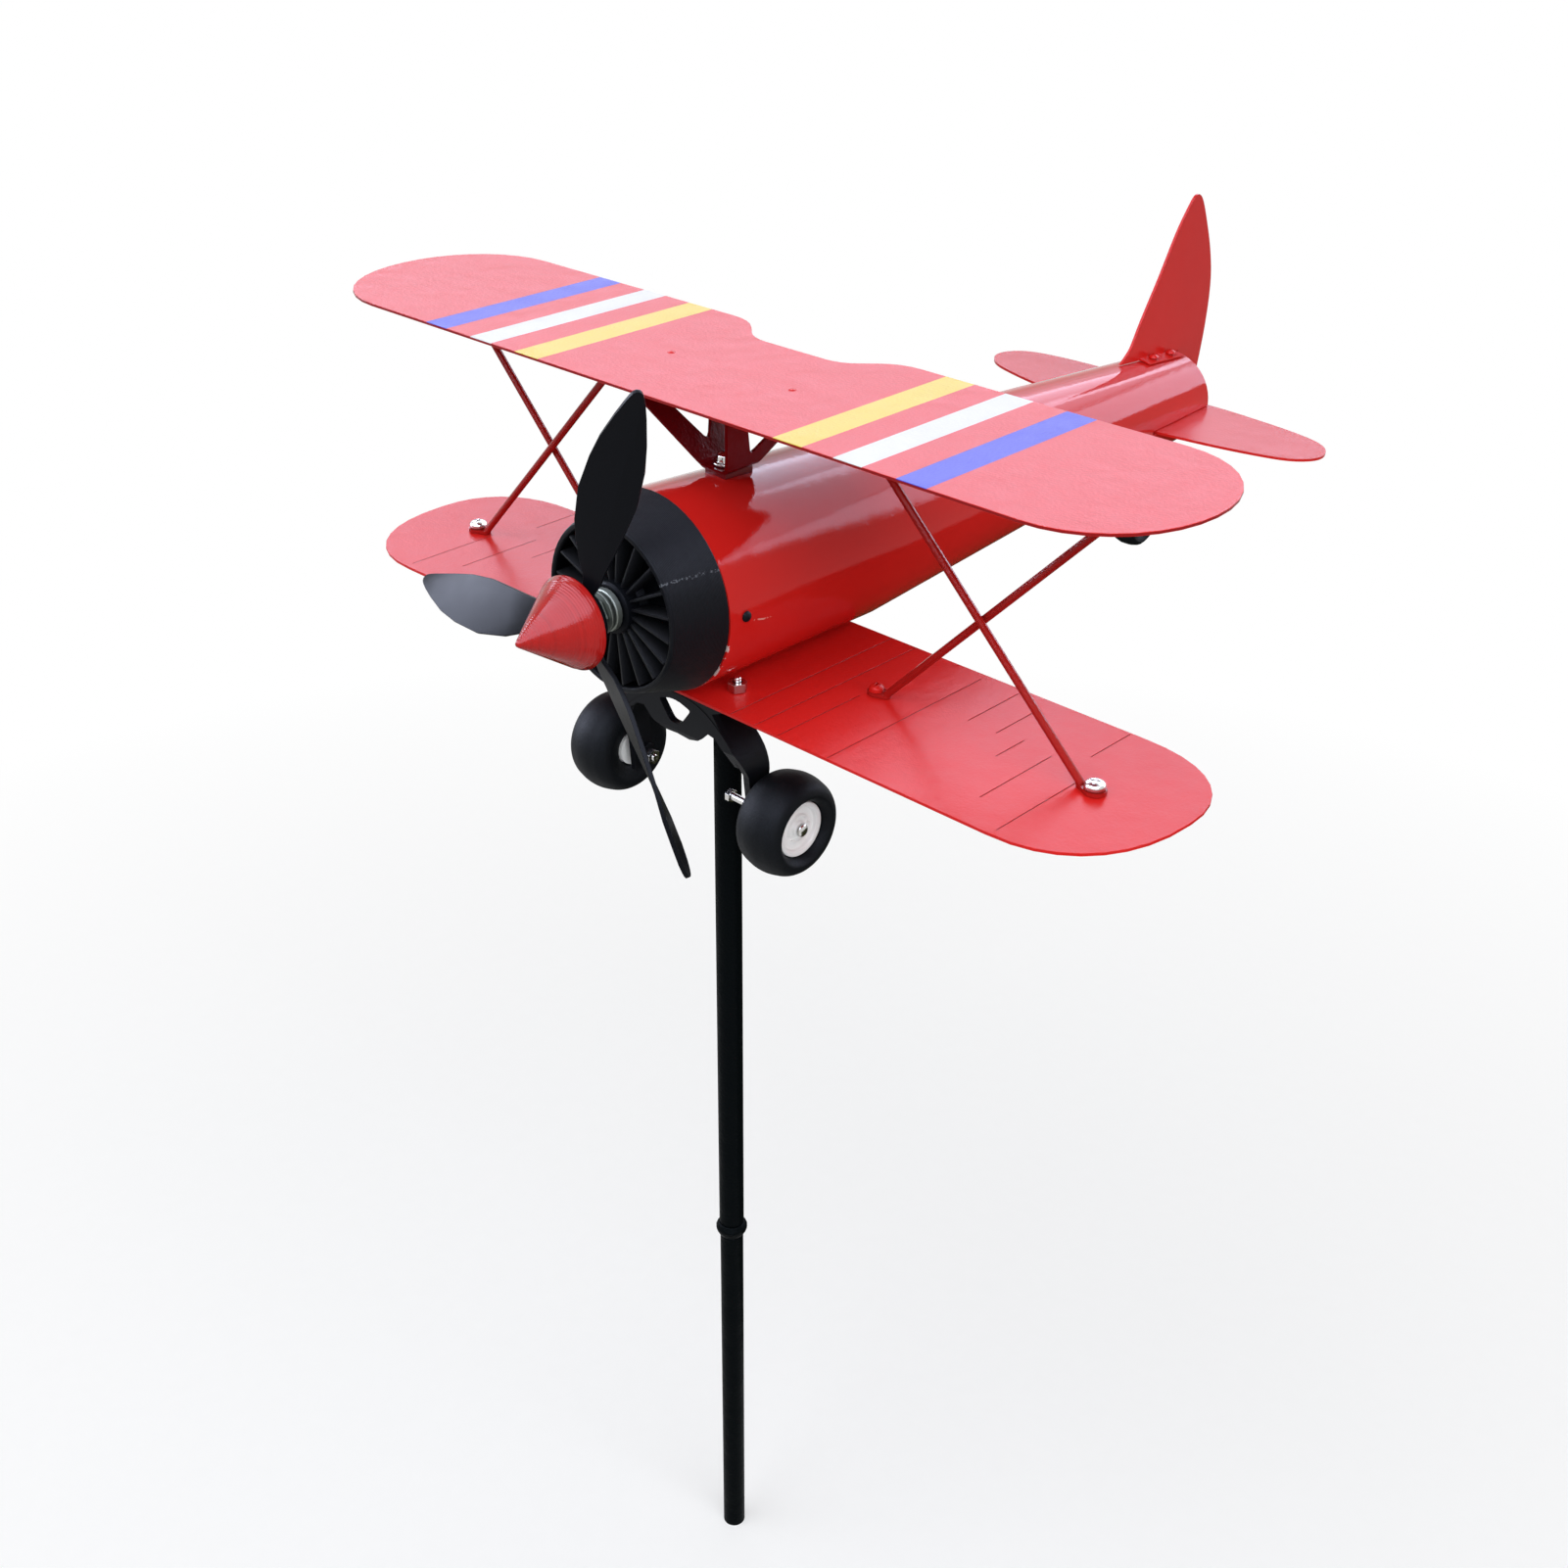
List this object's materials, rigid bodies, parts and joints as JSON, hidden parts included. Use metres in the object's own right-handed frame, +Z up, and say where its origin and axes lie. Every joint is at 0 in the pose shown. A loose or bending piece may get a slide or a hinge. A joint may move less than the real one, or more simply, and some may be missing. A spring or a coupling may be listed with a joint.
{
  "type": "biplane whirligig",
  "caption": "Biplane whirligig on a ground stake: sheet-metal wings and rolled fuselage, free-spinning pitched propeller and wheels, airframe turning on a swivel pin.",
  "frame": {"origin": "on the stake's axis at ground level, where the stake enters the ground", "axes": "+Z up along the stake, the nose points along -Y, the port wings along +X"},
  "size_m": [0.3976, 0.417, 0.6942],
  "materials": {
    "red_paint": "gloss",
    "dark_red_paint": "gloss",
    "black_paint": "satin",
    "black_plastic": "printed layers",
    "red_plastic": "printed layers",
    "white_plastic": "satin",
    "tyre": "matte",
    "steel": "zinc plated",
    "brass": "plain"
  },
  "bodies": {
    "stake": {"ground_spike": "black_paint", "pole_lower": "black_paint", "pole_coupling": "black_paint", "pole_upper": "black_paint", "swivel_pin": "steel"},
    "airframe": {"axle_nut_port": "steel", "axle_nut_starboard": "steel", "axle_port": "steel", "axle_starboard": "steel", "bearing_spacer": "black_plastic", "cabane_bracket": "dark_red_paint", "cabane_screw": "steel", "cowl_ring": "black_plastic", "engine_face": "black_plastic", "fin": "red_paint", "fin_screw_front": "red_paint", "fin_screw_rear": "red_paint", "firewall": "black_plastic", "front_bearing": "steel", "fuselage_shell": "red_paint", "landing_gear": "black_plastic", "lower_wing": "red_paint", "rear_bearing": "brass", "root_nut_port": "steel", "root_nut_starboard": "steel", "root_screw_port": "steel", "root_screw_starboard": "steel", "screw_inner_port": "red_paint", "screw_inner_starboard": "red_paint", "screw_outer_port": "steel", "screw_outer_starboard": "steel", "side_screw_port": "black_paint", "side_screw_starboard": "black_paint", "stabiliser": "red_paint", "strut_inner_port": "red_paint", "strut_inner_starboard": "red_paint", "strut_outer_port": "red_paint", "strut_outer_starboard": "red_paint", "swivel_socket": "black_paint", "tail_axle": "steel", "tail_block": "black_plastic", "tail_bracket": "black_paint", "upper_wing": "red_paint"},
    "propeller": {"propeller_shaft": "steel", "propeller_hub": "black_plastic", "blade_1": "black_plastic", "blade_2": "black_plastic", "blade_3": "black_plastic", "spinner_cone": "red_plastic", "shaft_nut": "steel", "shaft_washer": "steel", "shaft_collar": "steel"},
    "wheel_port": {"tyre_port": "tyre", "hub_port": "white_plastic"},
    "wheel_starboard": {"tyre_starboard": "tyre", "hub_starboard": "white_plastic"},
    "tail_wheel": {"tail_tyre": "tyre", "tail_hub": "white_plastic"}
  },
  "joints": [
    {"name": "yaw", "type": "hinge", "parent": "stake", "child": "airframe", "pos_m": [0, 0, 0.47], "axis": [0, 0, 1], "continuous": true},
    {"name": "propeller_spin", "type": "hinge", "parent": "airframe", "child": "propeller", "pos_m": [0, -0.0717, 0.52], "axis": [0, 1, 0], "continuous": true},
    {"name": "wheel_port_spin", "type": "hinge", "parent": "airframe", "child": "wheel_port", "pos_m": [0.0466, -0.0154, 0.4329], "axis": [1, 0, 0], "continuous": true},
    {"name": "wheel_starboard_spin", "type": "hinge", "parent": "airframe", "child": "wheel_starboard", "pos_m": [-0.0466, -0.0154, 0.4329], "axis": [1, 0, 0], "continuous": true},
    {"name": "tail_wheel_spin", "type": "hinge", "parent": "airframe", "child": "tail_wheel", "pos_m": [0, 0.273, 0.458], "axis": [1, 0, 0], "continuous": true}
  ]
}
